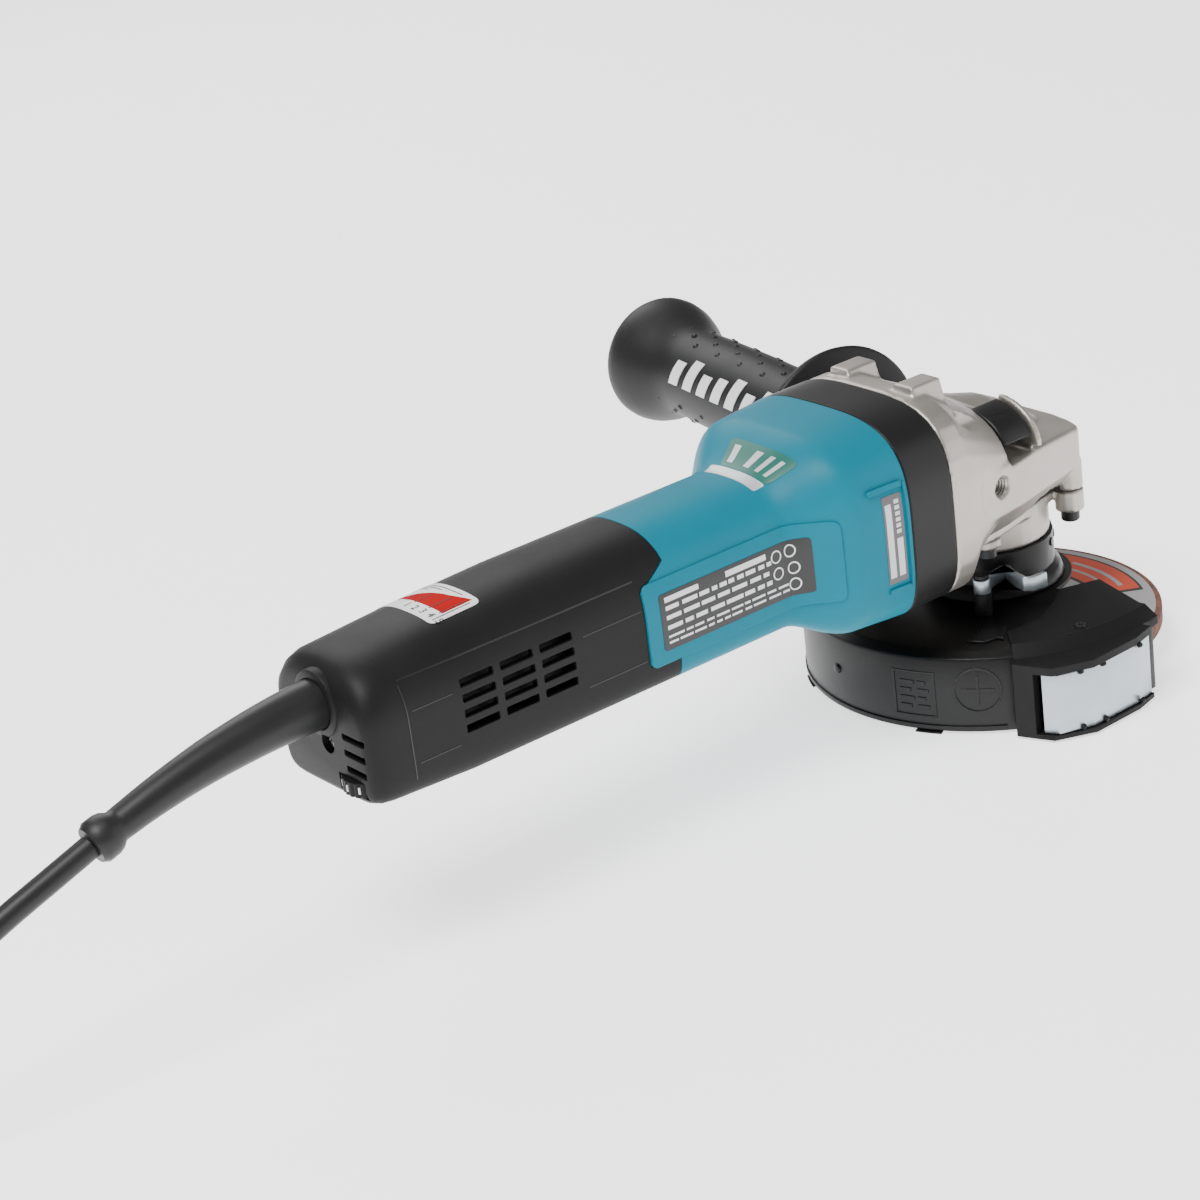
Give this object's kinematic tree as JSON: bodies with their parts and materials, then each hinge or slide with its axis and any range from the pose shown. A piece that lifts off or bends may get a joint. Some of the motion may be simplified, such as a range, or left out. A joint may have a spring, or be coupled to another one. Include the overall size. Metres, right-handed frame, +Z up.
{
  "type": "angle grinder",
  "caption": "Corded angle grinder with a depressed-centre wheel, turning guard with clip-on cutting cover, side handle, slide switch, shaft lock and coiled cord.",
  "frame": {"origin": "centre of the spindle's end face", "axes": "+Z up along the spindle into the gear head, +X along the motor towards the gear head, +Y towards the side handle"},
  "size_m": [0.7183, 0.2657, 0.1264],
  "materials": {
    "teal_shell": "fine satin moulding",
    "charcoal_shell": "fine texture",
    "cast_head": "blasted casting with a faint grain",
    "black_fixings": "black oxide",
    "black_sheet": "satin powder coat",
    "plated_sheet": "zinc plated",
    "machined_steel": "turned and ground",
    "laminations": "varnished plates",
    "copper": "enamelled wire and bright bars",
    "carbon": "pressed carbon",
    "sheet_holders": "bent sheet",
    "board": "potted module",
    "soft_rubber": "matt",
    "abrasive": "bonded grit",
    "tie": "strap"
  },
  "bodies": {
    "housing": {"motor_housing": "teal_shell", "rear_cover": "charcoal_shell", "air_baffle": "charcoal_shell", "front_ring": "charcoal_shell", "gear_housing": "cast_head", "bearing_box": "cast_head", "bearing_box_screw_1": "black_fixings", "bearing_box_screw_2": "black_fixings", "bearing_box_screw_3": "black_fixings", "bearing_box_screw_4": "black_fixings", "gear_housing_screw_1": "black_fixings", "gear_housing_screw_2": "black_fixings", "gear_housing_screw_3": "black_fixings", "gear_housing_screw_4": "black_fixings", "rear_cover_screw": "machined_steel", "stator_core": "laminations", "field_coil_left": "copper", "field_coil_right": "copper", "brush_holder_left": "sheet_holders", "brush_holder_right": "sheet_holders", "brush_left": "carbon", "brush_right": "carbon", "switch_body": "charcoal_shell", "control_module": "board", "front_bearing": "machined_steel", "rear_bearing": "machined_steel", "spindle_bearing": "machined_steel", "lock_spring": "machined_steel", "cord_guard": "soft_rubber", "cord": "soft_rubber", "cord_coil": "soft_rubber", "cord_tie": "tie", "plug": "soft_rubber", "plug_pin_left": "machined_steel", "plug_pin_right": "machined_steel"},
    "armature": {"armature_shaft": "machined_steel", "armature_core": "laminations", "commutator": "copper", "fan": "charcoal_shell", "pinion": "machined_steel"},
    "spindle_set": {"spindle": "machined_steel", "ring_gear": "machined_steel", "inner_flange": "machined_steel", "wheel": "abrasive", "lock_nut": "black_fixings"},
    "shaft_lock": {"lock_button": "charcoal_shell", "lock_pin": "machined_steel"},
    "switch": {"switch_knob": "charcoal_shell", "switch_rod": "machined_steel"},
    "dial": {"speed_dial": "charcoal_shell"},
    "handle": {"handle_grip": "soft_rubber", "handle_core": "charcoal_shell", "handle_stud": "machined_steel"},
    "guard": {"guard_shell": "black_sheet", "guard_collar": "black_sheet", "lever_pin": "black_fixings", "cutting_cover": "charcoal_shell", "latch_holder": "charcoal_shell"},
    "lever": {"guard_lever": "plated_sheet"},
    "latch": {"cover_latch": "plated_sheet"}
  },
  "joints": [
    {"name": "armature_spin", "type": "hinge", "parent": "housing", "child": "armature", "pos_m": [-0.134, 0, 0.0795], "axis": [1, 0, 0], "continuous": true},
    {"name": "spindle_spin", "type": "hinge", "parent": "housing", "child": "spindle_set", "pos_m": [0, 0, 0.02], "axis": [0, 0, 1], "continuous": true},
    {"name": "shaft_lock_press", "type": "slide", "parent": "housing", "child": "shaft_lock", "axis": [0, 0, -1], "range_m": [0, 0.0038], "stiffness_N_per_m": 600, "springref_m": -0.002, "deforming": ["lock_spring"]},
    {"name": "switch_slide", "type": "slide", "parent": "housing", "child": "switch", "axis": [1, 0, 0], "range_m": [0, 0.006]},
    {"name": "speed_dial_turn", "type": "hinge", "parent": "housing", "child": "dial", "pos_m": [-0.2882, -0.014, 0.0614], "axis": [0, 0, 1], "range_deg": [-135, 135]},
    {"name": "side_handle_screw", "type": "hinge", "parent": "housing", "child": "handle", "pos_m": [-0.02757, 0.03875, 0.0783], "axis": [0.1513, 0.9885, 0], "range_deg": [0, 2880]},
    {"name": "guard_turn", "type": "hinge", "parent": "housing", "child": "guard", "pos_m": [0, 0, 0.035], "axis": [0, 0, 1], "range_deg": [-90, 90]},
    {"name": "guard_lever_turn", "type": "hinge", "parent": "guard", "child": "lever", "pos_m": [-0.0285, -0.025, 0.0372], "axis": [0, 0, -1], "range_deg": [0, 22], "stiffness_Nm_per_rad": 0.5, "springref_deg": -8.59},
    {"name": "cover_latch_turn", "type": "hinge", "parent": "guard", "child": "latch", "pos_m": [-0.0442, -0.0682, 0.0083], "axis": [0, 0, -1], "range_deg": [0, 35]}
  ],
  "couplings": [
    {"joint": "spindle_spin", "follows": "armature_spin", "ratio": -0.28571}
  ]
}
